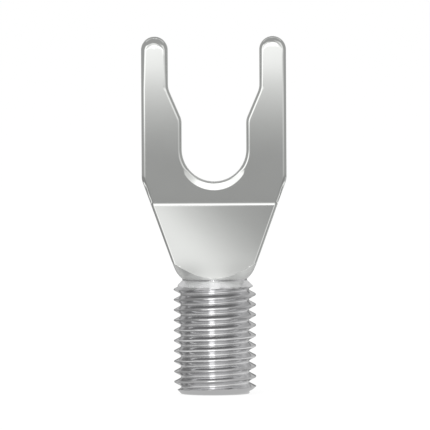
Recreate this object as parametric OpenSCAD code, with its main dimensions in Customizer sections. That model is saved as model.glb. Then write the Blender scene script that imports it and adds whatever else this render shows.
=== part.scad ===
// Screw-in fork terminal, turned and milled from one bar and plated.
// Z runs up the thread axis from the end of the stud to the fork's tips, X lies across
// the fork and Y through its thickness. The origin is at the middle of the stud's end.

/* [Stud] */
// Outside diameter of the thread
thread_d = 8; // [7:0.1:9]
// Length of the stud, from its end to the neck
stud_l = 11.2; // [8:0.1:20]
// Chamfer at the free end of the thread
end_chamfer = 0.6; // [0.3:0.05:0.8]
// Diameter of the neck between the thread and the shoulder
neck_d = 6.3; // [5.5:0.1:6.6]
// Width of the plain land at the bottom of the neck
neck_land = 0.15; // [0.1:0.05:0.5]

/* [Wedge] */
// Length of the wedge, from the neck to the bend
wedge_l = 7.3; // [5:0.1:12]
// Thickness of the wedge at the neck
wedge_t = 6.7; // [6.4:0.1:8]
// Slope of the turned shoulder above the neck, from the axis
shoulder_angle = 47; // [30:1:60]
// Radius in the bend where the wedge meets the fork
bend_r = 1.3; // [0.4:0.1:3]

/* [Fork] */
// Length of the fork, from the bend to its tips
fork_l = 16.3; // [15.5:0.1:24]
// Width across the two tines
fork_w = 14.1; // [12.5:0.1:18]
// Thickness of the fork
fork_t = 2; // [1.2:0.1:3]
// Length of the straight sides, from the tips down to the taper
side_l = 13.9; // [11:0.1:16]
// Width of the head where the taper runs out at the neck
taper_w = 7; // [6.4:0.1:9]

/* [Slot] */
// Width of the mouth, for the wider posts
mouth_w = 8.9; // [8:0.1:10]
// Depth of the straight mouth below the tips
mouth_l = 5.05; // [3:0.05:6]
// Width of the seat, for the narrower posts
seat_w = 6.3; // [5:0.1:7]
// Length of the slope from the mouth in to the seat
throat_l = 3.05; // [1.5:0.05:4]
// Depth of the round seat's centre below the tips
seat_l = 11; // [9.6:0.1:12]

/* [Edges] */
// Chamfer on the long edges of the fork and wedge
edge_break = 0.28; // [0.1:0.02:0.32]
// Countersink round the seat, a little wider than the chamfers that run into it
seat_break = 0.35; // [0.3:0.01:0.5]
// Rounding of the tips, seen from the side
nose_r = 0.9; // [0.3:0.05:0.95]
// Width of the lead at the bottom of the seat
lead_w = 0.7; // [0.4:0.05:1]
// Depth of the lead at the bottom of the seat
lead_depth = 0.18; // [0.15:0.01:0.5]

/* [Hidden] */
$fn = 96;

thread_r = thread_d / 2;
neck_r = neck_d / 2;
seat_r = seat_w / 2;
mouth_r = mouth_w / 2;
fork_r = fork_w / 2;
face_y = fork_t / 2;
tip_r = (fork_r - mouth_r) / 2;

neck_z = stud_l;
bend_z = neck_z + wedge_l;
tip_z = bend_z + fork_l;
tip_centre_z = tip_z - tip_r;
side_z = tip_z - side_l;
seat_z = tip_z - seat_l;
mouth_z = tip_z - mouth_l;
throat_z = mouth_z - throat_l;

tip_nose = min(nose_r, 0.9 * face_y);
bar_r = norm([fork_r, face_y]) + 1;
over = 1;

bend_angle = atan2(wedge_t / 2 - face_y, wedge_l);
bend_tangent = bend_r * tan(bend_angle / 2);
bend_steps = 5;
throat_angle = atan2(mouth_r - seat_r, throat_l);

// Half-width of the head at a height on its tapered sides
function taper_x(z) = taper_w / 2 + (fork_r - taper_w / 2) * (z - neck_z) / (side_z - neck_z);

// The point on the line from a to b that lies further on than b
function beyond(a, b, further) = b + (b - a) * further / norm(b - a);

// Repeats its children on the left and right sides of the fork
module both_sides() {
    children();
    mirror([1, 0, 0]) children();
}

// Repeats its children on the front and back faces of the fork
module both_faces() {
    children();
    mirror([0, 1, 0]) children();
}

// Turns a profile drawn across X and up Z into a slab of the given thickness through Y
module through_y(t) {
    rotate([90, 0, 0]) linear_extrude(t, center = true) children();
}

// Turns a profile drawn through Y and up Z into a slab of the given width across X
module through_x(w) {
    rotate([90, 0, 90]) linear_extrude(w, center = true) children();
}

// The bar as it comes off the lathe: stud, neck and sloping shoulder
module turned_bar() {
    shoulder_l = (bar_r - neck_r) / tan(shoulder_angle);
    neck_chamfer = thread_r - neck_r;
    rotate_extrude() polygon([
        [0, 0],
        [thread_r - end_chamfer, 0],
        [thread_r, end_chamfer],
        [thread_r, neck_z - neck_land - neck_chamfer],
        [neck_r, neck_z - neck_land],
        [neck_r, neck_z],
        [bar_r, neck_z + shoulder_l],
        [bar_r, tip_z + over],
        [0, tip_z + over]
    ]);
}

// The head seen from the front: tapered sides, two round-tipped tines and the slot between
// them, with its straight mouth, sloping throat and round seat
module front_outline() {
    right = [
        [bar_r, -over], [bar_r, neck_z], [taper_w / 2, neck_z],
        [fork_r, side_z], [fork_r, tip_centre_z],
        [mouth_r, tip_centre_z], [mouth_r, mouth_z],
        [seat_r, throat_z], [seat_r, seat_z]
    ];
    left = [for (i = [len(right) - 1:-1:0]) [-right[i].x, right[i].y]];
    difference() {
        polygon(concat(right, left));
        translate([0, seat_z]) circle(seat_r);
    }
    for (side = [-1, 1]) translate([side * (mouth_r + tip_r), tip_centre_z]) circle(tip_r);
}

// Half of the head seen from the side: wedge, bend and flat fork with a rounded nose
module side_half() {
    centre = [face_y + bend_r, bend_z + bend_tangent];
    bend = [for (i = [0:bend_steps])
        let (a = 180 + bend_angle * (1 - i / bend_steps))
        centre + bend_r * [cos(a), sin(a)]];
    nose = [face_y - tip_nose, tip_z - tip_nose];
    polygon(concat(
        [[0, -over], [bar_r, -over], [bar_r, neck_z], [wedge_t / 2, neck_z]],
        bend,
        [[face_y, nose.y], nose, [nose.x, tip_z], [0, tip_z]]
    ));
    intersection() {
        translate(nose) circle(tip_nose);
        translate(nose) square(tip_nose);
    }
}

// A chamfer cut along a straight edge from a to b, on the face with normal n, with the open
// side of the edge on the right as it is followed
module edge_cut(a, b, n) {
    run = b - a;
    along = run / norm(run);
    across = cross(n, along);
    spare = edge_break / 2;
    multmatrix([
        [across.x, n.x, along.x, a.x],
        [across.y, n.y, along.y, a.y],
        [across.z, n.z, along.z, a.z],
        [0, 0, 0, 1]
    ]) linear_extrude(norm(run)) polygon([
        [-edge_break - spare, spare], [spare, -edge_break - spare], [spare, spare]
    ]);
}

// A cone cut into the face at a height z, of radius r at the face and narrowing below it
module cone_cut(z, r, depth, slope) {
    translate([0, face_y - depth, z]) rotate([-90, 0, 0])
        cylinder(r1 = r - depth * slope, r2 = r + over * slope, h = depth + over);
}

// The chamfers on one side of one face of the head. Those that meet at an outer corner cross
// there, the two in the inner corner between throat and mouth run on past it to their mitre,
// and those of the tines run on past the tips, where the rounded nose takes over.
module broken_edges() {
    face = [0, 1, 0];
    wedge_face = [0, cos(bend_angle), sin(bend_angle)];
    seat = [seat_r, face_y, seat_z];
    throat = [seat_r, face_y, throat_z];
    mouth = [mouth_r, face_y, mouth_z];
    side = [fork_r, face_y, side_z];
    bend = [taper_x(bend_z), face_y, bend_z];
    neck = [taper_w / 2, wedge_t / 2, neck_z];
    mitre = edge_break * tan(throat_angle / 2);
    edge_cut(neck, beyond(neck, bend, edge_break / 2), wedge_face);
    edge_cut(bend, beyond(bend, side, edge_break), face);
    edge_cut(side - [0, 0, edge_break], [fork_r, face_y, tip_z], face);
    edge_cut([mouth_r, face_y, tip_z], mouth - [0, 0, mitre], face);
    edge_cut(beyond(throat, mouth, mitre), beyond(mouth, throat, edge_break), face);
    edge_cut(throat + [0, 0, edge_break], seat, face);
}

// The countersink round the seat, and the lead below it: a shallow cone of the seat's own
// size, dropped by its width
module seat_cuts() {
    cone_cut(seat_z, seat_r + seat_break, seat_break, 1);
    cone_cut(seat_z - lead_w, seat_r, lead_depth, lead_w / lead_depth);
}

module fork_terminal() {
    color([0.74, 0.75, 0.74])
    difference() {
        intersection() {
            turned_bar();
            through_y(2 * bar_r + over) front_outline();
            through_x(2 * bar_r + over) {
                side_half();
                mirror([1, 0]) side_half();
            }
        }
        both_faces() both_sides() broken_edges();
        both_faces() seat_cuts();
    }
}

fork_terminal();
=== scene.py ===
"""Studio scene of a screw-in fork terminal: a plated head on a cut thread, standing on a pale floor.

Sizes of the terminal and of the light tent are in millimetres, as on a drawing, and become metres
where a mesh is made. Z runs up the thread's axis, X lies across the fork and Y through its thickness.
"""

import logging
import math
from collections.abc import Mapping, Sequence
from dataclasses import dataclass, field
from enum import Enum
from typing import Any, Union

import bmesh
import bpy
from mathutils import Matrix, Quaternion, Vector

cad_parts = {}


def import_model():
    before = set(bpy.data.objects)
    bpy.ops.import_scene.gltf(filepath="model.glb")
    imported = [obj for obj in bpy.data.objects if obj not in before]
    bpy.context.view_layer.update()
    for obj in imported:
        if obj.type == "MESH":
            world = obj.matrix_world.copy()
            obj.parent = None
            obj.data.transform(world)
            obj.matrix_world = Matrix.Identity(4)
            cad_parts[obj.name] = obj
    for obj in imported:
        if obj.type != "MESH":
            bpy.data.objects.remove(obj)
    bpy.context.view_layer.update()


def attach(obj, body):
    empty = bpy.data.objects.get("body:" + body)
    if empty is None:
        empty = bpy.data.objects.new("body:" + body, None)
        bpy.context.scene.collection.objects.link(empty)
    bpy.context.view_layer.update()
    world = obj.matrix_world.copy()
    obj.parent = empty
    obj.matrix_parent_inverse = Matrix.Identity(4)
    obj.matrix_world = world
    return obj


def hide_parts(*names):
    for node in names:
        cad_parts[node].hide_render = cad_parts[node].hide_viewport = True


LOG = logging.getLogger("fork_terminal")
MM = 0.001
TINY = 1e-6
NODE = "fork_terminal"
BODY = "root"
WHITE = (1.0, 1.0, 1.0, 1.0)

Number = Union["Wire", float]
Point = tuple[float, float, float]
Pair = tuple[float, float]


class Zone(Enum):
    """The surfaces of the terminal, by their place in its list of materials."""

    HEAD = 0
    THREAD = 1
    SHOULDER = 2
    RUN_OUT = 3


def clamp(value: float, low: float = 0.0, high: float = 1.0) -> float:
    """Keeps a value between two limits."""
    return min(high, max(low, value))


def spaced(knots: Sequence[tuple[int, float]]) -> list[float]:
    """Fills in the values between knots.

    Args:
        knots: pairs of an index and the value there, in order.

    Returns:
        A value for every index from the first knot to the last, even between one knot and the next.
    """
    made = [knots[0][1]]
    for (i, low), (j, high) in zip(knots, knots[1:]):
        made += [low + (high - low) * k / (j - i) for k in range(1, j - i + 1)]
    return made


def strip(
    mesh: bmesh.types.BMesh,
    low: Sequence[bmesh.types.BMVert],
    high: Sequence[bmesh.types.BMVert],
    closed: bool,
) -> None:
    """Joins two rows of vertices by a band of faces.

    Args:
        mesh: the mesh that holds them.
        low: the first row.
        high: the second row, as long as the first.
        closed: whether the band runs all the way round.
    """
    count = len(low)
    for i in range(count if closed else count - 1):
        j = (i + 1) % count
        mesh.faces.new((low[i], low[j], high[j], high[i]))


def put(name: str, data: bpy.types.ID) -> bpy.types.Object:
    """Makes an object and adds it to the scene.

    Args:
        name: its name.
        data: its mesh, lamp or camera.

    Returns:
        The object, at the origin.
    """
    made = bpy.data.objects.new(name, data)
    bpy.context.scene.collection.objects.link(made)
    return made


# Node trees

class Wire:
    """An output socket in a node tree. Arithmetic on it adds Math nodes to the tree."""

    def __init__(self, tree: "Tree", socket: bpy.types.NodeSocket) -> None:
        """Keeps the tree and the socket."""
        self.tree = tree
        self.socket = socket

    def math(self, operation: str, *others: Number, first: bool = True) -> "Wire":
        """Adds one Math node.

        Args:
            operation: the Math node's operation.
            others: the node's other values or wires, in order.
            first: whether this wire is the first of the node's inputs, or the last.

        Returns:
            The node's result.
        """
        values = (self, *others) if first else (*others, self)
        return self.tree.add("ShaderNodeMath", {"operation": operation}, dict(enumerate(values)))

    def __add__(self, other: Number) -> "Wire":
        """Sum."""
        return self.math("ADD", other)

    __radd__ = __add__

    def __sub__(self, other: Number) -> "Wire":
        """Difference."""
        return self.math("SUBTRACT", other)

    def __rsub__(self, other: Number) -> "Wire":
        """Difference from a number."""
        return self.math("SUBTRACT", other, first=False)

    def __mul__(self, other: Number) -> "Wire":
        """Product."""
        return self.math("MULTIPLY", other)

    def __truediv__(self, other: Number) -> "Wire":
        """Quotient."""
        return self.math("DIVIDE", other)

    def __abs__(self) -> "Wire":
        """Size without its sign."""
        return self.math("ABSOLUTE")

    def least(self, other: Number) -> "Wire":
        """The smaller of two values."""
        return self.math("MINIMUM", other)

    def most(self, other: Number) -> "Wire":
        """The larger of two values."""
        return self.math("MAXIMUM", other)


class Tree:
    """A node tree that is grown from expressions and named nodes."""

    def __init__(self, nodes: bpy.types.NodeTree) -> None:
        """Starts from an empty tree."""
        self.nodes = nodes
        nodes.nodes.clear()

    def add(
        self,
        kind: str,
        settings: Mapping[str, Any] | None = None,
        sockets: Mapping[str | int, Any] | None = None,
        out: str | int = 0,
    ) -> Wire:
        """Adds a node of any kind.

        Args:
            kind: the node's type.
            settings: its properties, set before its sockets. "stops" fills a colour ramp.
            sockets: values or wires for its inputs, by name, identifier or place.
            out: which of its outputs is wanted.

        Returns:
            That output.
        """
        node = self.nodes.nodes.new(kind)
        for name, value in (settings or {}).items():
            if name == "stops":
                self._fill_ramp(node.color_ramp, value)
            else:
                setattr(node, name, value)
        for key, value in (sockets or {}).items():
            socket = self._find(node.inputs, key)
            if isinstance(value, Wire):
                self.nodes.links.new(value.socket, socket)
            else:
                socket.default_value = value
        return Wire(self, self._find(node.outputs, out) if node.outputs else None)

    @staticmethod
    def _find(sockets: Any, key: str | int) -> bpy.types.NodeSocket:
        """The socket with that place, identifier or name."""
        named = {s.identifier: s for s in sockets if s.enabled}
        return named[key] if key in named else sockets[key]

    @staticmethod
    def _fill_ramp(ramp: bpy.types.ColorRamp, stops: Sequence[Pair]) -> None:
        """Gives a colour ramp its grey stops.

        Args:
            ramp: the ramp.
            stops: pairs of a place from 0 to 1 and the grey there.
        """
        while len(ramp.elements) < len(stops):
            ramp.elements.new(1.0)
        for element, (place, value) in zip(ramp.elements, stops):
            element.position = place
            element.color = (value, value, value, 1.0)

    def blend(self, low: Number, high: Number, share: Number) -> Wire:
        """Mixes two numbers by a share from 0 to 1."""
        sockets = {"Factor_Float": share, "A_Float": low, "B_Float": high}
        return self.add("ShaderNodeMix", {"data_type": "FLOAT"}, sockets)

    def place(self) -> tuple[Wire, Wire, Wire]:
        """Finds the point that is shaded.

        Returns:
            Its three Object coordinates, in millimetres.
        """
        here = self.add("ShaderNodeTexCoord", out="Object")
        scaled = self.add("ShaderNodeVectorMath", {"operation": "SCALE"}, {0: here, "Scale": 1.0 / MM})
        split = self.add("ShaderNodeSeparateXYZ", None, {0: scaled})
        outputs = split.socket.node.outputs
        return Wire(self, outputs[0]), Wire(self, outputs[1]), Wire(self, outputs[2])

    def grain(self, x: Number, y: Number, z: Number, detail: float = 2.0) -> Wire:
        """Noise between 0 and 1 over three coordinates that are already scaled to its grain."""
        spot = self.add("ShaderNodeCombineXYZ", None, {0: x, 1: y, 2: z})
        return self.add("ShaderNodeTexNoise", None, {"Vector": spot, "Scale": 1.0, "Detail": detail})


@dataclass(frozen=True)
class Ease:
    """A soft change from one value to another between two places."""

    low: float
    high: float
    start: float = 0.0
    end: float = 1.0

    def at(self, place: Wire) -> Wire:
        """The start up to the low place, the end from the high place on, and a soft change between."""
        sockets = {
            "Value": place, "From Min": self.low, "From Max": self.high,
            "To Min": self.start, "To Max": self.end,
        }
        return place.tree.add("ShaderNodeMapRange", {"interpolation_type": "SMOOTHSTEP"}, sockets)


@dataclass(frozen=True)
class Ramp:
    """A row of greys along a span. Each stop is a share of the span and the grey there."""

    start: float
    span: float
    stops: tuple[Pair, ...]

    def at(self, place: Wire) -> Wire:
        """The grey at a place along the span."""
        share = (place - self.start) / self.span
        return place.tree.add("ShaderNodeValToRGB", {"stops": self.stops}, {"Fac": share})


# Finishes

@dataclass(frozen=True)
class Plating:
    """Bright plating as one zone of the terminal shows it."""

    name: str
    colour: Point
    roughness: float
    metallic: float = 1.0
    haze: float = 0.03
    line_pitch: Point = (0.5, 0.5, 30.0)
    line_depth: float = 0.001
    # Painted highlight: where given, the colour is made brighter near the axis, at a thread's root.
    root_painted_highlight: Ease | None = None
    line_detail: float = 3.0
    line_strength: float = 0.1
    cloud_pitch: float = 0.31
    cloud_shade: float = 0.06
    scuff_along: float = 0.9
    scuff_across: float = 7.0
    scuff_through: float = 3.0
    scuff_detail: float = 1.0
    scuff_rim: Ease = Ease(0.68, 0.8)
    scuff_haze: float = 1.5

    def material(self) -> bpy.types.Material:
        """Makes the finish.

        Returns:
            A metal whose colour and gloss drift a little, with scuffs and the fine lines of its making,
            and, where a root highlight is given, a painted highlight that brightens the colour at a
            thread's root.
        """
        made = bpy.data.materials.new(self.name)
        made.use_nodes = True
        tree = Tree(made.node_tree)
        x, y, z = tree.place()
        cloud = tree.grain(x * self.cloud_pitch, y * self.cloud_pitch, z * self.cloud_pitch)
        pitch_x, pitch_y, pitch_z = self.line_pitch
        lines = tree.grain(x * pitch_x, y * pitch_y, z * pitch_z, self.line_detail)
        along = x * self.scuff_along + z * self.scuff_across
        across = z * self.scuff_along - x * self.scuff_across
        scuff = self.scuff_rim.at(tree.grain(along, y * self.scuff_through, across, self.scuff_detail))
        shade = (1.0 - self.cloud_shade / 2) + cloud * self.cloud_shade
        # Painted highlight: the colour is brightened inside the given radius, at the thread's root.
        if self.root_painted_highlight:
            shade = shade * self.root_painted_highlight.at((x * x + y * y).math("SQRT"))
        tinted = tree.add(
            "ShaderNodeVectorMath", {"operation": "SCALE"}, {0: self.colour, "Scale": shade}
        )
        bump = tree.add("ShaderNodeBump", None, {
            "Strength": self.line_strength, "Distance": self.line_depth * MM, "Height": lines,
        })
        drift = (cloud + lines - 1.0) * self.haze + scuff * (self.haze * self.scuff_haze)
        metal = tree.add("ShaderNodeBsdfPrincipled", None, {
            "Base Color": tinted,
            "Metallic": self.metallic,
            "Roughness": self.roughness + drift,
            "Normal": bump,
        })
        tree.add("ShaderNodeOutputMaterial", None, {"Surface": metal})
        return made


# The head

@dataclass(frozen=True)
class Corner:
    """A corner of the head's outline and its rounding."""

    x: float
    z: float
    radius: float = 0.0


@dataclass(frozen=True)
class Station:
    """A point on the head's outline, with the direction that faces out of the metal there."""

    x: float
    z: float
    out_x: float
    out_z: float


@dataclass(frozen=True)
class Marks:
    """Places on an edge that have a point of their own, as shares of its rounding and of its wall."""

    face_side: float = 2 / 7
    wall_side: float = 5 / 7
    wall: float = 0.5


@dataclass(frozen=True)
class Rim:
    """How a face runs over its edge: a lead that drops slowly, then a rounded edge down to the wall."""

    width: float
    depth: float
    lead: float
    drop: float
    lead_shares: tuple[float, ...] = (0.0, 0.1, 0.9)
    steps: int = 7
    end_steps: int = 2
    wall_steps: int = 16
    margin: float = 0.05

    def rounding(self, half: float, share: float) -> Pair:
        """A point on the rounded edge of the front face, from 0 at the face to 1 at the wall."""
        a = math.pi / 2 * (1 - share)
        return self.width * (1 - math.cos(a)), self.drop + self.depth * (1 - math.sin(a)) - half

    def profile(self, half: float, marks: Marks = Marks()) -> list[Pair]:
        """Draws the edge from the front face round the wall to the back face.

        Args:
            half: half of the thickness.
            marks: the places that have a point of their own.

        Returns:
            Pairs of the distance in from the outline and the height through the thickness.
        """
        front = [(self.width + self.lead + self.margin, -half)]
        for share in self.lead_shares:
            front.append((self.width + self.lead * (1 - share), -(half - self.drop * share)))
        shares = spaced([
            (0, 0.0),
            (self.end_steps, marks.face_side),
            (self.steps - self.end_steps, marks.wall_side),
            (self.steps, 1.0),
        ])
        front += [self.rounding(half, share) for share in shares]
        quarter, low = self.wall_steps // 4, front[-1][1]
        levels = spaced([
            (0, 1.0), (quarter, marks.wall), (3 * quarter, -marks.wall), (4 * quarter, -1.0),
        ])
        wall = [(0.0, low * level) for level in levels[1:-1]]
        return front + wall + [(d, -y) for d, y in reversed(front)]


@dataclass
class ForkHead:
    """The wedge and the fork, from the neck up to the two round tips."""

    neck_r: float = 3.15
    neck_z: float = 11.2
    shoulder_slope: float = math.tan(math.radians(47))
    shoulder_l: float = 2.2
    crease_blend: float = 0.3
    taper_half: float = 3.5
    wedge_half: float = 3.35
    bend_z: float = 18.5
    bend_r: float = 1.3
    bend_below: float = 0.35
    bend_above: float = 0.4
    join_z: float = 19.3
    side_z: float = 20.9
    side_r: float = 2.0
    fork_half: float = 7.05
    face_half: float = 1.0
    tip_z: float = 34.8
    mouth_half: float = 4.45
    mouth_z: float = 29.75
    mouth_r: float = 2.0
    seat_half: float = 3.15
    throat_z: float = 26.7
    throat_r: float = 1.6
    seat_z: float = 23.8
    edge: float = 0.36
    edge_growth: float = 2.5
    wedge_edge: float = 0.27
    seat_edge_cut: float = 0.14
    tip_side: float = 0.55
    tip_edge: float = 0.9
    tip_drop: float = 0.62
    tip_power: float = 1.1
    tip_lead: float = 0.25
    tip_fall: float = 0.022
    right_tip_share: float = 0.72
    least_lead: float = 0.05
    lead_w: float = 0.55
    lead_depth: float = 0.1
    lead_power: float = 1.15
    lead_reach: float = 57.0
    lead_fade: float = 6.0
    across: int = 96
    shoulder_rows: int = 60
    wedge_rows: int = 6
    bend_rows: int = 14
    arc_step: float = 5.0
    least_arc: int = 3
    run_step: float = 0.8
    mark_samples: int = 100
    mark_end: float = 0.05
    mark_gap: float = 0.03
    peak_range: Pair = (0.15, 0.85)
    crease_range: Pair = (0.1, 0.97)

    def half_width(self, z: float) -> float:
        """Half of the width of the tapered sides at a height."""
        share = (z - self.neck_z) / (self.side_z - self.neck_z)
        return self.taper_half + (self.fork_half - self.taper_half) * share

    def half_thickness(self, z: float) -> float:
        """Measures the wedge, the bend and the fork.

        Args:
            z: height.

        Returns:
            Half of the thickness there.
        """
        slope = (self.wedge_half - self.face_half) / (self.bend_z - self.neck_z)
        angle = math.atan(slope)
        reach = self.bend_r * math.tan(angle / 2)
        if z >= self.bend_z + reach:
            return self.face_half
        if z <= self.bend_z - reach * math.cos(angle):
            return self.face_half + (self.bend_z - z) * slope
        rise = self.bend_z + reach - z
        return self.face_half + self.bend_r - math.sqrt(self.bend_r**2 - rise**2)

    def cone(self, z: float) -> float:
        """Radius of the turned shoulder at a height."""
        return self.neck_r + (z - self.neck_z) * self.shoulder_slope

    def turned(self, x: float, y: float, z: float) -> Point:
        """Keeps a point of the wedge inside the turned shoulder.

        Args:
            x: place across the fork.
            y: place through the thickness.
            z: height.

        Returns:
            The point, drawn in to the shoulder's cone where it lay outside it. Below the faces the
            crease between the two is rounded.
        """
        radius, cone = math.hypot(x, y), self.cone(z)
        below = (self.half_thickness(z) - abs(y)) / self.wedge_edge
        blend = self.crease_blend * clamp(below, TINY)
        near = max(0.0, 1.0 - abs(radius - cone) / blend)
        share = (min(radius, cone) - near**2 * blend / 4) / radius
        return x * share, y * share, z

    @property
    def lean(self) -> float:
        """How much longer a level cut through the leaning sides is than a square one."""
        return math.hypot(1.0, (self.fork_half - self.taper_half) / (self.side_z - self.neck_z))

    def marks(self, z: float) -> Marks:
        """Finds where the shoulder's cone crosses the edge at a height.

        Args:
            z: the height.

        Returns:
            Marks at the crossings, or near the ends of their runs where there are none.
        """
        half, wide, cone = self.half_thickness(z), self.half_width(z), self.cone(z)
        rim = self.rim(Station(0, z, 1.0, 0.0))
        shares = [i / self.mark_samples for i in range(self.mark_samples + 1)]
        spots = [rim.rounding(half, share) for share in shares]
        far = [math.hypot(wide - d * self.lean, y) for d, y in spots]
        peak = clamp(shares[far.index(max(far))], *self.peak_range)
        inside = [share for share, r in zip(shares, far) if r < cone]
        face_side = max([s for s in inside if s < peak], default=0.0)
        wall_side = min([s for s in inside if s > peak], default=1.0)
        wall = math.sqrt(max(0.0, cone**2 - wide**2)) / -spots[-1][1]
        return Marks(
            clamp(face_side, self.mark_end, peak - self.mark_gap),
            clamp(wall_side, peak + self.mark_gap, 1.0 - self.mark_end),
            clamp(wall, *self.crease_range),
        )

    def ring(self, z: float) -> list[Point]:
        """Draws a level section through the wedge.

        Args:
            z: its height.

        Returns:
            The section's points: front face, right edge, back face, left edge.
        """
        half, wide = self.half_thickness(z), self.half_width(z)
        profile = self.rim(Station(0, z, 1.0, 0.0)).profile(half, self.marks(z))
        right = [(wide - d * self.lean, y) for d, y in profile]
        reach = right[0][0]
        nearest, furthest = self.crease_range
        crease = math.sqrt(max(0.0, self.cone(z)**2 - half**2))
        crease = clamp(crease, nearest * reach, furthest * reach)
        outer = self.across // 4
        side = [crease + (reach - crease) * i / outer for i in range(outer)]
        inner = self.across - 2 * outer
        face = [-x for x in reversed(side)]
        face += [crease * (2 * (i + 1) / (inner + 1) - 1) for i in range(inner)] + side
        flat = [(x, -half) for x in face] + right + [(-x, half) for x in face]
        flat += [(-x, y) for x, y in reversed(right)]
        return [self.turned(x, y, z) for x, y in flat]

    def heights(self) -> list[float]:
        """Spreads the level sections.

        Returns:
            Their heights, close together in the shoulder and in the bend.
        """
        bend_row = self.shoulder_rows + self.wedge_rows
        return spaced([
            (0, self.neck_z),
            (self.shoulder_rows, self.neck_z + self.shoulder_l),
            (bend_row, self.bend_z - self.bend_below),
            (bend_row + self.bend_rows, self.bend_z + self.bend_above),
            (bend_row + self.bend_rows + 1, self.join_z),
        ])

    def outline(self) -> list[Station]:
        """Walks round the fork from its right side, over the tips and the seat, to its left side.

        Returns:
            The stations on the way.
        """
        tip_r = (self.fork_half - self.mouth_half) / 2
        right = [
            Corner(self.half_width(self.join_z), self.join_z),
            Corner(self.fork_half, self.side_z, self.side_r),
            Corner(self.fork_half, self.tip_z, tip_r),
            Corner(self.mouth_half, self.tip_z, tip_r),
            Corner(self.mouth_half, self.mouth_z, self.mouth_r),
            Corner(self.seat_half, self.throat_z, self.throat_r),
            Corner(self.seat_half, self.seat_z - self.seat_half, self.seat_half),
        ]
        corners = right + [Corner(-c.x, c.z, c.radius) for c in reversed(right)]
        first, last = self.facing(*corners[:2]), self.facing(*corners[-2:])
        stations = [Station(corners[0].x, corners[0].z, *first)]
        for before, corner, after in zip(corners, corners[1:], corners[2:]):
            arc = self.round_corner(before, corner, after)
            stations += self.between(stations[-1], arc[0]) + arc
        end = Station(corners[-1].x, corners[-1].z, *last)
        return stations + self.between(stations[-1], end) + [end]

    def between(self, start: Station, end: Station) -> list[Station]:
        """Divides a straight run.

        Args:
            start: the station that it leaves.
            end: the station that it reaches.

        Returns:
            The stations between them.
        """
        run_x, run_z = end.x - start.x, end.z - start.z
        count = int(math.hypot(run_x, run_z) / self.run_step)
        shares = [i / (count + 1) for i in range(1, count + 1)]
        return [
            Station(start.x + run_x * t, start.z + run_z * t, end.out_x, end.out_z) for t in shares
        ]

    @staticmethod
    def facing(start: Corner, end: Corner) -> Pair:
        """Finds which way a straight run of the outline faces.

        Args:
            start: the corner that it leaves.
            end: the corner that it reaches.

        Returns:
            The direction out of the metal, on the right of the way along it.
        """
        dx, dz = end.x - start.x, end.z - start.z
        length = math.hypot(dx, dz)
        return dz / length, -dx / length

    def round_corner(self, before: Corner, corner: Corner, after: Corner) -> list[Station]:
        """Rounds one corner of the outline.

        Args:
            before: the corner before it.
            corner: the corner to round.
            after: the corner after it.

        Returns:
            The stations along its arc.
        """
        into, away = self.facing(before, corner), self.facing(corner, after)
        turn = math.atan2(into[0] * away[1] - into[1] * away[0], into[0] * away[0] + into[1] * away[1])
        side = math.copysign(corner.radius, turn)
        trim = corner.radius * math.tan(abs(turn) / 2)
        start_x, start_z = corner.x + into[1] * trim, corner.z - into[0] * trim
        centre_x, centre_z = start_x - into[0] * side, start_z - into[1] * side
        count = max(self.least_arc, round(math.degrees(abs(turn)) / self.arc_step))
        made = []
        for i in range(count + 1):
            a = math.atan2(into[1], into[0]) + turn * i / count
            out_x, out_z = math.cos(a), math.sin(a)
            made.append(Station(centre_x + out_x * side, centre_z + out_z * side, out_x, out_z))
        return made

    def rim(self, station: Station) -> Rim:
        """The edge at a station."""
        return self.tine_rim(station) if station.z > self.mouth_z else self.lower_rim(station)

    def tine_rim(self, station: Station) -> Rim:
        """Chooses the edge beside the mouth and round the tips.

        Args:
            station: a point on the outline above the throat.

        Returns:
            An edge that grows towards the tip and becomes its nose. The right tip's nose is smaller.
        """
        up = max(0.0, station.out_z)
        climb = clamp((station.z - self.mouth_z) / (self.tip_z - self.mouth_z))
        size = self.right_tip_share if station.x > 0 else 1.0
        side = self.edge + (self.tip_side - self.edge) * climb
        side = side * (1.0 - (1.0 - size) * climb)
        nose = up**self.tip_power
        return Rim(
            side + (self.tip_edge * size - side) * nose,
            side + (self.tip_drop * size - side) * nose,
            self.least_lead + self.tip_lead * up,
            self.tip_fall * up,
        )

    def lower_rim(self, station: Station) -> Rim:
        """Chooses the edge of the wedge, the sides, the throat and the seat.

        Args:
            station: a point on the outline below the mouth.

        Returns:
            An edge that is small on the wedge, larger on the fork, and has a lead in the seat.
        """
        up = max(0.0, station.out_z)
        lean = math.degrees(math.acos(min(1.0, up)))
        fade = clamp((self.lead_reach - lean) / self.lead_fade) if station.z < self.seat_z else 0.0
        share = up**self.lead_power * fade
        rise = clamp((station.z - self.bend_z) / self.edge_growth)
        edge = self.wedge_edge + (self.edge - self.wedge_edge) * rise - self.seat_edge_cut * fade
        return Rim(edge, edge, self.least_lead + self.lead_w * share, self.lead_depth * share)

    def build(self, mesh: bmesh.types.BMesh) -> None:
        """Adds the head to a mesh, open at the neck.

        Args:
            mesh: the mesh that it joins.
        """
        def add(points: Sequence[Point]) -> list[bmesh.types.BMVert]:
            """Makes a row of vertices."""
            return [mesh.verts.new(Vector(p) * MM) for p in points]

        rings = [add(self.ring(z)) for z in self.heights()]
        for low, high in zip(rings, rings[1:]):
            strip(mesh, low, high, closed=True)
        stations = self.outline()
        top, edge = rings[-1], len(self.rim(stations[0]).profile(self.face_half))
        first = top[self.across:self.across + edge]
        last = list(reversed(top[2 * self.across + edge:]))
        rows = [first]
        for s in stations[1:-1]:
            profile = self.rim(s).profile(self.face_half)
            rows.append(add([(s.x - s.out_x * d, y, s.z - s.out_z * d) for d, y in profile]))
        rows.append(last)
        for low, high in zip(rows, rows[1:]):
            strip(mesh, low, high, closed=False)
        front, back = top[:self.across], top[self.across + edge:2 * self.across + edge]
        mesh.faces.new(front + [r[0] for r in rows])
        mesh.faces.new(back + [r[-1] for r in reversed(rows)])


# The stud

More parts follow.
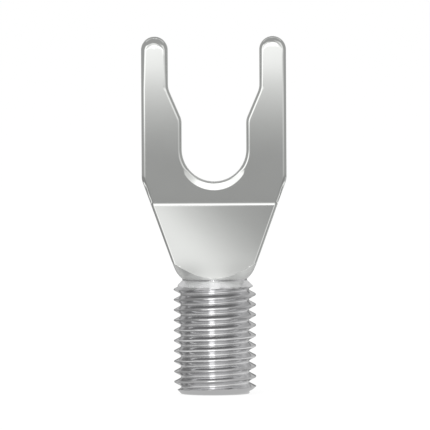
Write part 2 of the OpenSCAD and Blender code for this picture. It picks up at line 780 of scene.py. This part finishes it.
@dataclass
class ThreadedStud:
    """The stud below the neck, with a right-hand thread cut along it."""

    major_r: float = 4.0
    pitch: float = 1.0
    depth: float = 0.66
    flank_slope: float = 1 / math.tan(math.radians(28))
    crest_share: float = 1 / 16
    crest_softness: float = 0.05
    root_softness: float = 0.05
    phase: float = 0.66
    end_chamfer: float = 0.7
    neck_r: float = 3.15
    neck_slope: float = 1.0
    length: float = 11.05
    ring: float = 0.3
    ring_fade: float = 0.3
    ring_band: float = 0.6
    turns: int = 13
    turns_below: float = 2.5
    segments: int = 96
    steps: int = 24
    weld: float = 0.001

    def sizes(self) -> dict[str, float]:
        """Lists the inputs of the geometry nodes.

        Returns:
            Their values by name, in order: lengths in metres, slopes, shares of a turn, and counts.
        """
        return {
            "Major Radius": self.major_r * MM, "Pitch": self.pitch * MM, "Depth": self.depth * MM,
            "Flank Slope": self.flank_slope, "Crest Softness": self.crest_softness * MM,
            "Root Softness": self.root_softness * MM, "Phase": self.phase,
            "End Chamfer": self.end_chamfer * MM, "Neck Radius": self.neck_r * MM,
            "Neck Slope": self.neck_slope, "Length": self.length * MM, "Ring": self.ring * MM,
            "Ring Fade": self.ring_fade * MM, "Turns": self.turns, "Segments": self.segments,
            "Steps": self.steps,
        }

    def tree(self, finish: bpy.types.Material) -> bpy.types.NodeTree:
        """Grows the geometry nodes that wind the thread's profile up the stud.

        Args:
            finish: the material that they set.

        Returns:
            The tree, with a named input for each size.
        """
        group = bpy.data.node_groups.new("cut_thread", "GeometryNodeTree")
        tree = Tree(group)
        sizes = self.sizes()
        for name, size in sizes.items():
            kind = "NodeSocketInt" if isinstance(size, int) else "NodeSocketFloat"
            group.interface.new_socket(name, in_out="INPUT", socket_type=kind)
        group.interface.new_socket("Geometry", in_out="OUTPUT", socket_type="NodeSocketGeometry")
        inputs = tree.add("NodeGroupInput").socket.node.outputs
        (
            major, pitch, depth, slope, blunt, hollow, phase, chamfer, neck, lean, length, ring, fade,
            turns, segments, steps,
        ) = (Wire(tree, socket) for socket in list(inputs)[:len(sizes)])
        grid = tree.add("GeometryNodeMeshGrid", None, {
            "Size X": turns, "Size Y": 1.0, "Vertices X": turns * segments + 1, "Vertices Y": steps + 1,
        })
        place = tree.add("ShaderNodeSeparateXYZ", None, {0: tree.add("GeometryNodeInputPosition")})
        along = Wire(tree, place.socket.node.outputs[0]) + turns * 0.5
        across = Wire(tree, place.socket.node.outputs[1]) + 0.5
        height = ((along + across + phase - self.turns_below) * pitch).most(0.0).least(length)
        turn = height / pitch - phase - along
        off_crest = abs((turn + 0.5).math("FRACT") - 0.5) * pitch
        flank = major + (pitch * self.crest_share - off_crest) * slope
        crest = flank.math("SMOOTH_MIN", major, blunt)
        root = crest.math("SMOOTH_MAX", major - depth, hollow)
        filled = ((height - length + ring) / fade + 1.0).most(0.0).least(1.0)
        grooved = root + (major - root) * filled
        radius = grooved.least(major - chamfer + height).least(neck + (length - height) * lean)
        angle = along * math.tau
        spot = tree.add("ShaderNodeCombineXYZ", None, {
            0: radius * angle.math("COSINE"), 1: radius * angle.math("SINE"), 2: height,
        })
        wound = tree.add("GeometryNodeSetPosition", None, {"Geometry": grid, "Position": spot})
        weld = {"Geometry": wound, "Distance": self.weld * MM}
        merged = tree.add("GeometryNodeMergeByDistance", None, weld)
        whole = tree.add("GeometryNodeRealizeInstances", None, {"Geometry": merged})
        dressed = tree.add("GeometryNodeSetMaterial", None, {"Geometry": whole, "Material": finish})
        tree.add("NodeGroupOutput", None, {"Geometry": dressed})
        return group

    def build(self, finish: bpy.types.Material) -> bpy.types.Mesh:
        """Winds the thread.

        Args:
            finish: its material.

        Returns:
            A plain mesh of the stud's side, open at both ends.
        """
        carrier = put("thread_carrier", bpy.data.meshes.new("thread_carrier"))
        group = self.tree(finish)
        modifier = carrier.modifiers.new("cut_thread", "NODES")
        modifier.node_group = group
        sizes = self.sizes()
        for item in group.interface.items_tree:
            if item.in_out == "INPUT":
                modifier[item.identifier] = sizes[item.name]
        graph = bpy.context.evaluated_depsgraph_get()
        mesh = bpy.data.meshes.new_from_object(carrier.evaluated_get(graph))
        carrier.modifiers.remove(modifier)
        bpy.data.objects.remove(carrier)
        return mesh


# The terminal

@dataclass
class ForkTerminal:
    """The whole terminal: head and stud, closed into one piece of metal."""

    head: ForkHead = field(default_factory=ForkHead)
    stud: ThreadedStud = field(default_factory=ThreadedStud)
    polished: Plating = Plating(
        name="polished_plating", colour=(0.862, 0.874, 0.854), roughness=0.085,
        line_pitch=(0.7, 5.0, 13.0), line_depth=0.0006,
    )
    # Painted shade: the thread's colour is darker than the head's, and its root is painted brighter as
    # a highlight; its gloss is the cut thread's own.
    cut: Plating = Plating(
        name="cut_thread_plating_painted_shade_and_highlight", colour=(0.77, 0.77, 0.776), roughness=0.075, haze=0.02,
        line_pitch=(0.5, 0.5, 26.0), line_depth=0.0006, root_painted_highlight=Ease(3.345, 3.41, 1.14, 1.0),
    )
    # Painted shade: the shoulder's colour is darker than the head's; its rougher gloss is the turned
    # finish's own.
    shoulder: Plating = Plating(
        name="turned_shoulder_plating_painted_shade", colour=(0.8, 0.811, 0.793), roughness=0.3, metallic=0.88,
    )
    # Painted light: the run-out ring's colour is brighter than the thread's; its rougher gloss is its
    # own turned finish.
    run_out: Plating = Plating(
        name="run_out_plating_painted_light", colour=(0.92, 0.922, 0.928), roughness=0.22, metallic=0.8,
    )
    crease: float = 40.0
    on_cone: float = 0.002

    def zone(self, face: bmesh.types.BMFace, otherwise: Zone) -> Zone:
        """Finds the zone of a face.

        Args:
            face: the face.
            otherwise: the zone of a face that lies neither on the shoulder nor on the ring.

        Returns:
            Shoulder on the cone, run-out in the band at the thread's upper end, or the zone given.
        """
        spots = [(math.hypot(v.co.x, v.co.y) / MM, v.co.z / MM) for v in face.verts]
        if all(abs(r - self.head.cone(z)) < self.on_cone for r, z in spots):
            return Zone.SHOULDER
        ring_z = self.stud.length - self.stud.ring_band
        if otherwise is Zone.THREAD and all(z > ring_z for _, z in spots):
            return Zone.RUN_OUT
        return otherwise

    def join(self, mesh: bmesh.types.BMesh) -> None:
        """Adds the head to the stud, closes the two into one body and gives every face its zone.

        Args:
            mesh: the stud's side, open at both ends.
        """
        for face in mesh.faces:
            face.material_index = Zone.THREAD.value
        ends = [e for e in mesh.edges if e.is_boundary]
        bottom = [e for e in ends if e.verts[0].co.z < self.stud.length * MM / 2]
        top = [e for e in ends if e not in set(bottom)]
        self.head.build(mesh)
        neck = [e for e in mesh.edges if e.is_boundary and e not in set(ends)]
        for face in mesh.faces:
            face.material_index = self.zone(face, Zone(face.material_index)).value
        for face in bmesh.ops.bridge_loops(mesh, edges=top + neck)["faces"]:
            face.material_index = Zone.THREAD.value
        for face in bmesh.ops.edgeloop_fill(mesh, edges=bottom)["faces"]:
            face.material_index = Zone.THREAD.value
        bmesh.ops.recalc_face_normals(mesh, faces=mesh.faces)
        LOG.info("open edges: %d", sum(not e.is_manifold for e in mesh.edges))

    def build(self) -> bpy.types.Object:
        """Makes the terminal's mesh and dresses it.

        Returns:
            The finished piece, riding on the terminal's body.
        """
        platings = (self.polished, self.cut, self.shoulder, self.run_out)
        finishes = [plating.material() for plating in platings]
        side = self.stud.build(finishes[Zone.THREAD.value])
        mesh = bmesh.new()
        mesh.from_mesh(side)
        bpy.data.meshes.remove(side)
        self.join(mesh)
        made = bpy.data.meshes.new(NODE)
        mesh.to_mesh(made)
        mesh.free()
        for finish in finishes:
            made.materials.append(finish)
        made.shade_smooth()
        made.set_sharp_from_angle(angle=math.radians(self.crease))
        piece = put("plated_fork_terminal", made)
        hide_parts(NODE)
        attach(piece, BODY)
        return piece


# The light tent

@dataclass(frozen=True)
class Spot:
    """A point of the tent's cloth, as wires.

    Turn is its angle in degrees from straight ahead, positive to the right. Aside is its angle from
    straight ahead or straight behind, whichever is nearer. Reach is its distance from the axis.
    """

    x: Wire
    y: Wire
    z: Wire
    turn: Wire
    aside: Wire
    reach: Wire

    @classmethod
    def of(cls, tree: Tree) -> "Spot":
        """Finds the point that is shaded.

        Args:
            tree: the cloth's nodes.

        Returns:
            That point.
        """
        x, y, z = tree.place()
        turn = x.math("ARCTAN2", 0.0 - y) * math.degrees(1.0)
        aside = abs(turn).least(180.0 - abs(turn))
        return cls(x, y, z, turn, aside, (x * x + y * y).math("SQRT"))


PAST_AXIS = Ease(-3.0, 3.0)


@dataclass(frozen=True)
class FrontCard:
    """The cloth straight ahead and straight behind, which the flat faces of the head show."""

    fork: Ramp = Ramp(0.0, 90.0, (
        (0.0, 0.26), (0.165, 0.26), (0.18, 0.35), (0.235, 0.348), (0.256, 0.392), (0.274, 0.454),
        (0.292, 0.55), (0.3, 0.6), (0.316, 0.705), (0.323, 0.765), (0.331, 0.855), (0.344, 0.98),
        (0.372, 1.05), (0.395, 1.35),
    ))
    wedge: Ramp = Ramp(-6.0, 13.6, (
        (0.0, 0.9), (0.15, 0.93), (0.26, 0.87), (0.36, 0.76), (0.45, 0.665), (0.56, 0.57),
        (0.69, 0.48), (0.78, 0.43), (0.89, 0.39), (1.0, 0.36),
    ))
    wedge_from: Ease = Ease(47.0, 48.5)
    wedge_level: float = 53.2
    wedge_slope: float = 1.212
    lobes_x: float = -0.1
    lobes_apart: float = 2.7
    lobe_rim: Ease = Ease(0.8, 1.7, 1.0, 0.35)
    lobe_bottom: Ease = Ease(46.5, 48.0)
    lobe_top: Ease = Ease(49.5, 50.1, 1.0, 0.0)
    lobe_grey: float = 0.5
    back_limit: float = 0.8

    def grey(self, spot: Spot) -> Wire:
        """Shades the card.

        Args:
            spot: the point that is shaded.

        Returns:
            Its brightness.
        """
        blend = spot.x.tree.blend
        lean = spot.x + (spot.z - self.wedge_level) / self.wedge_slope
        card = blend(self.fork.at(spot.z), self.wedge.at(lean), self.wedge_from.at(spot.z))
        off_lobe = abs(abs(spot.x - self.lobes_x) - self.lobes_apart)
        lobes = self.lobe_rim.at(off_lobe) * self.lobe_top.at(spot.z) * self.lobe_bottom.at(spot.z)
        card = blend(card, self.lobe_grey, lobes)
        return blend(card, card.least(self.back_limit), PAST_AXIS.at(spot.y))


@dataclass(frozen=True)
class SideCards:
    """The cloth beside the front and back cards, which the edges of the head show."""

    left: tuple[Ease, ...] = (Ease(16.5, 19.0, 0.26, 0.62), Ease(20.0, 28.0, 0.0, 0.58))
    right: tuple[Ease, ...] = (
        Ease(16.5, 19.0, 0.26, 0.52), Ease(20.0, 28.0, 0.0, 0.2), Ease(33.0, 36.0, 0.0, 0.18),
    )
    dim_from: Ease = Ease(40.0, 44.0)
    dim_within: Ease = Ease(20.0, 24.0, 1.0, 0.0)
    dimming: float = 0.35
    back_limit: float = 0.55

    def grey(self, spot: Spot) -> Wire:
        """Shades the cards.

        Args:
            spot: the point that is shaded.

        Returns:
            Its brightness.
        """
        blend = spot.x.tree.blend
        left, right = (sum(ease.at(spot.z) for ease in card) for card in (self.left, self.right))
        dim = self.dim_from.at(spot.z) * self.dim_within.at(spot.aside)
        cards = blend(left, right, PAST_AXIS.at(spot.x)) * (1.0 - dim * self.dimming)
        return blend(cards, cards.least(self.back_limit), PAST_AXIS.at(spot.y))


@dataclass(frozen=True)
class Walls:
    """The cloth above the floor: the cards, the dusk round them, and the dome with its pale patches."""

    front: FrontCard = FrontCard()
    sides: SideCards = SideCards()
    sides_from: Ease = Ease(8.0, 12.0)
    dusk: Ease = Ease(16.5, 19.0, 0.26, 0.36)
    dusk_from: Ease = Ease(34.0, 50.0)
    glow: Ease = Ease(15.0, 17.0, 0.25, 0.0)
    glow_from: Ease = Ease(50.0, 110.0)
    dome_grey: float = 0.36
    dome_from: Ease = Ease(60.0, 66.0)
    dome_slant: Ease = Ease(-6.0, 6.0, 0.0, 9.0)
    wing_grey: float = 0.58
    wing_from: Ease = Ease(90.0, 98.0)
    wing_turn: float = 96.0
    wing_rim: Ease = Ease(18.0, 28.0, 1.0, 0.0)
    patch_white: float = 1.18
    patch_from: Ease = Ease(120.0, 124.0)
    patch_y: float = -6.0
    patch_end: Ease = Ease(12.0, 22.0, 1.0, 0.0)
    patch_side: Ease = Ease(5.0, 8.0, 1.0, 0.0)

    def grey(self, spot: Spot) -> Wire:
        """Shades the walls and the dome.

        Args:
            spot: the point that is shaded.

        Returns:
            Its brightness.
        """
        blend = spot.x.tree.blend
        cards = blend(self.front.grey(spot), self.sides.grey(spot), self.sides_from.at(spot.aside))
        dusk = self.dusk.at(spot.z) + self.glow_from.at(spot.turn) * self.glow.at(spot.z)
        around = blend(cards, dusk, self.dusk_from.at(spot.aside))
        above = self.dome_from.at(spot.z - self.dome_slant.at(spot.x))
        cloth = blend(around, self.dome_grey, above)
        wings = self.wing_rim.at(abs(abs(spot.turn) - self.wing_turn)) * self.wing_from.at(spot.z)
        cloth = blend(cloth, self.wing_grey, wings)
        patch = self.patch_end.at(abs(spot.x)) * self.patch_side.at(abs(spot.y - self.patch_y))
        return blend(cloth, self.patch_white, patch * self.patch_from.at(spot.z))


@dataclass(frozen=True)
class FloorCloth:
    """The cloth on the floor and at the foot of the walls, which the thread shows."""

    inner: Ramp = Ramp(0.0, 30.0, (
        (0.0, 0.5), (0.15, 0.56), (0.2, 0.72), (0.28, 0.55), (0.36, 0.7), (0.5, 0.62), (0.6, 0.55),
        (1.0, 0.55),
    ))
    outer: Ramp = Ramp(-180.0, 360.0, (
        (0.0, 0.5), (0.17, 0.3), (0.2, 0.26), (0.26, 0.38), (0.345, 0.44), (0.41, 0.55), (0.44, 0.65),
        (0.46, 1.8), (0.485, 1.8), (0.505, 0.85), (0.56, 0.75), (0.633, 0.5), (0.714, 0.58),
        (0.79, 0.58), (0.87, 0.6), (1.0, 0.5),
    ))
    outer_from: Ease = Ease(12.0, 20.0)
    foot: Ramp = Ramp(-180.0, 360.0, (
        (0.0, 0.35), (0.17, 0.5), (0.26, 1.02), (0.345, 0.98), (0.41, 0.98), (0.44, 1.0), (0.46, 2.2),
        (0.488, 2.2), (0.505, 1.25), (0.56, 1.05), (0.633, 0.8), (0.714, 0.96), (0.79, 0.95),
        (0.87, 0.75), (1.0, 0.5),
    ))
    foot_from: Ease = Ease(-0.03, -0.01)
    brink_grey: float = 0.26
    brink_from: Ease = Ease(47.0, 51.0)
    brink_turn: Ease = Ease(35.0, 60.0)
    back_grey: float = 0.52
    back_within: Ease = Ease(42.0, 50.0, 1.0, 0.0)
    back_turn: Ease = Ease(110.0, 128.0)
    nook_dimming: float = 0.6
    nook_from: Ease = Ease(4.0, 6.0)
    nook_turn: float = -105.0
    nook_rim: Ease = Ease(25.0, 45.0, 1.0, 0.0)

    def grey(self, spot: Spot) -> Wire:
        """Shades the floor and the foot of the walls.

        Args:
            spot: the point that is shaded.

        Returns:
            Its brightness.
        """
        blend = spot.x.tree.blend
        brink = self.brink_from.at(spot.reach) * self.brink_turn.at(abs(spot.turn))
        outer = blend(self.outer.at(spot.turn), self.brink_grey, brink)
        back = self.back_turn.at(abs(spot.turn)) * self.back_within.at(spot.reach)
        outer = blend(outer, self.back_grey, back)
        nook = self.nook_rim.at(abs(spot.turn - self.nook_turn)) * self.nook_from.at(spot.reach)
        inner = self.inner.at(spot.reach) * (1.0 - nook * self.nook_dimming)
        floor = blend(inner, outer, self.outer_from.at(spot.reach))
        return blend(floor, self.foot.at(spot.turn), self.foot_from.at(spot.z))


@dataclass
class LightTent:
    """A small tent of shaded cloth round the terminal, which only its reflections see."""

    walls: Walls = Walls()
    walls_from: Ease = Ease(7.0, 7.8)
    walls_sag: Ease = Ease(15.0, 60.0, 0.0, 4.0)
    floor: FloorCloth = FloorCloth()
    floor_z: float = -0.04
    hole_r: float = 0.5
    radius: float = 60.0
    wall_top: float = 90.0
    crown: float = 130.0
    sides: int = 96
    dome_rows: int = 8

    def material(self) -> bpy.types.Material:
        """Shades the tent's cloth by height and by the way it faces.

        Returns:
            An emission material.
        """
        made = bpy.data.materials.new("tent_cloth")
        made.use_nodes = True
        made.cycles.emission_sampling = "NONE"
        tree = Tree(made.node_tree)
        spot = Spot.of(tree)
        above = self.walls_from.at(spot.z + self.walls_sag.at(abs(spot.turn)))
        cloth = tree.blend(self.floor.grey(spot), self.walls.grey(spot), above)
        glow = tree.add("ShaderNodeEmission", None, {"Color": WHITE, "Strength": cloth})
        tree.add("ShaderNodeOutputMaterial", None, {"Surface": glow})
        return made

    def build(self) -> bpy.types.Object:
        """Sews the tent: a floor cloth, a round wall and a dome.

        Returns:
            The tent, which only glossy rays see.
        """
        mesh = bmesh.new()
        rows = [(self.hole_r, self.floor_z), (self.radius, self.floor_z)]
        rows += [(self.radius, 0.0), (self.radius, self.wall_top)]
        rows += [
            (self.radius * math.cos(a), self.wall_top + (self.crown - self.wall_top) * math.sin(a))
            for a in (math.pi / 2 * i / self.dome_rows for i in range(1, self.dome_rows))
        ]
        rings = [
            [
                mesh.verts.new(Vector((r * math.cos(a), r * math.sin(a), z)) * MM)
                for a in (math.tau * i / self.sides for i in range(self.sides))
            ]
            for r, z in rows
        ]
        for low, high in zip(rings, rings[1:]):
            strip(mesh, low, high, closed=True)
        mesh.faces.new(rings[-1])
        made = bpy.data.meshes.new("light_tent")
        mesh.to_mesh(made)
        mesh.free()
        made.materials.append(self.material())
        tent = put("light_tent", made)
        for ray in ("camera", "diffuse", "transmission", "volume_scatter", "shadow"):
            setattr(tent, "visible_" + ray, False)
        return tent


# The studio

@dataclass
class Studio:
    """The pale floor, the white surroundings, the lamp and the camera.

    Lengths are in metres unless they are named in millimetres, and angles are in degrees.
    """

    floor_half: float = 6.0
    floor_z: float = -0.00005
    floor_colour: tuple[float, float, float, float] = (0.92, 0.92, 0.92, 1.0)
    floor_glow: float = 0.93
    sky_light: float = 1.1
    sky_seen: float = 1.0
    lamp_power: float = 2.0
    lamp_size: float = 0.3
    lamp_place: Point = (-0.12, -0.2, 0.5)
    distance: float = 0.8
    view_depth: float = 20.0
    elevation: float = 2.2
    roll: float = -0.3
    frame_mm: float = 41.88
    aim_x_mm: float = 0.065
    aim_z_mm: float = 17.4

    @staticmethod
    def seen(tree: Tree) -> Wire:
        """Tells the rays that show the surroundings from those that only light something.

        Args:
            tree: the nodes of the floor or of the world.

        Returns:
            One for the camera, in a reflection and through glass, and zero for other rays.
        """
        paths = tree.add("ShaderNodeLightPath").socket.node.outputs
        camera, glossy, through = (
            Wire(tree, paths[n]) for n in ("Is Camera Ray", "Is Glossy Ray", "Is Transmission Ray")
        )
        return camera.most(glossy).most(through)

    def floor(self) -> bpy.types.Object:
        """Lays the floor.

        Returns:
            A white plane that keeps a soft shadow.
        """
        made = bpy.data.materials.new("pale_floor")
        made.use_nodes = True
        tree = Tree(made.node_tree)
        matt = tree.add("ShaderNodeBsdfDiffuse", None, {"Color": self.floor_colour})
        glow = tree.add("ShaderNodeEmission", None, {"Color": WHITE, "Strength": 1.0})
        share = self.seen(tree) * self.floor_glow
        both = tree.add("ShaderNodeMixShader", None, {0: share, 1: matt, 2: glow})
        tree.add("ShaderNodeOutputMaterial", None, {"Surface": both})
        mesh = bpy.data.meshes.new("floor")
        half = self.floor_half
        corners = [(-half, -half, 0), (half, -half, 0), (half, half, 0), (-half, half, 0)]
        mesh.from_pydata(corners, [], [(0, 1, 2, 3)])
        mesh.materials.append(made)
        floor = put("floor", mesh)
        floor.location.z = self.floor_z
        return floor

    def world(self) -> None:
        """Makes the white surroundings, a little brighter where they only light the floor."""
        world = bpy.data.worlds.new("studio")
        bpy.context.scene.world = world
        world.use_nodes = True
        tree = Tree(world.node_tree)
        strength = self.sky_light - self.seen(tree) * (self.sky_light - self.sky_seen)
        sky = tree.add("ShaderNodeBackground", None, {"Color": WHITE, "Strength": strength})
        tree.add("ShaderNodeOutputWorld", None, {"Surface": sky})

    def lamp(self) -> bpy.types.Object:
        """Hangs the soft lamp that gives the floor its shadow.

        Returns:
            The lamp.
        """
        light = bpy.data.lights.new("soft_lamp", "AREA")
        light.energy = self.lamp_power
        light.size = self.lamp_size
        lamp = put("soft_lamp", light)
        lamp.location = self.lamp_place
        lamp.rotation_euler = (-lamp.location).to_track_quat("-Z", "Y").to_euler()
        lamp.visible_glossy = False
        return lamp

    def camera(self) -> bpy.types.Object:
        """Sets up the long lens that looks at the front, from a little above.

        Returns:
            The camera.
        """
        lens = bpy.data.cameras.new("camera")
        lens.lens = lens.sensor_width * self.distance / (self.frame_mm * MM)
        lens.clip_end = self.view_depth
        camera = put("camera", lens)
        tilt = math.radians(self.elevation)
        back = Vector((0.0, -math.cos(tilt), math.sin(tilt)))
        camera.location = Vector((self.aim_x_mm, 0.0, self.aim_z_mm)) * MM + back * self.distance
        level = (-back).to_track_quat("-Z", "Y")
        roll = Quaternion((0.0, 0.0, 1.0), math.radians(self.roll))
        camera.rotation_euler = (level @ roll).to_euler()
        bpy.context.scene.camera = camera
        return camera

    def build(self) -> None:
        """Sets up everything round the terminal."""
        self.camera()
        self.world()
        self.floor()
        self.lamp()
        bpy.context.scene.view_settings.view_transform = "Standard"


def main() -> None:
    """Builds the terminal and the studio in order."""
    logging.basicConfig(level=logging.INFO, format="%(name)s: %(message)s")
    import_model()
    Studio().build()
    tent = LightTent().build()
    LOG.info("made %s", tent.name)
    piece = ForkTerminal().build()
    LOG.info("made %s with %d faces", piece.name, len(piece.data.polygons))


if __name__ == "__main__":
    main()
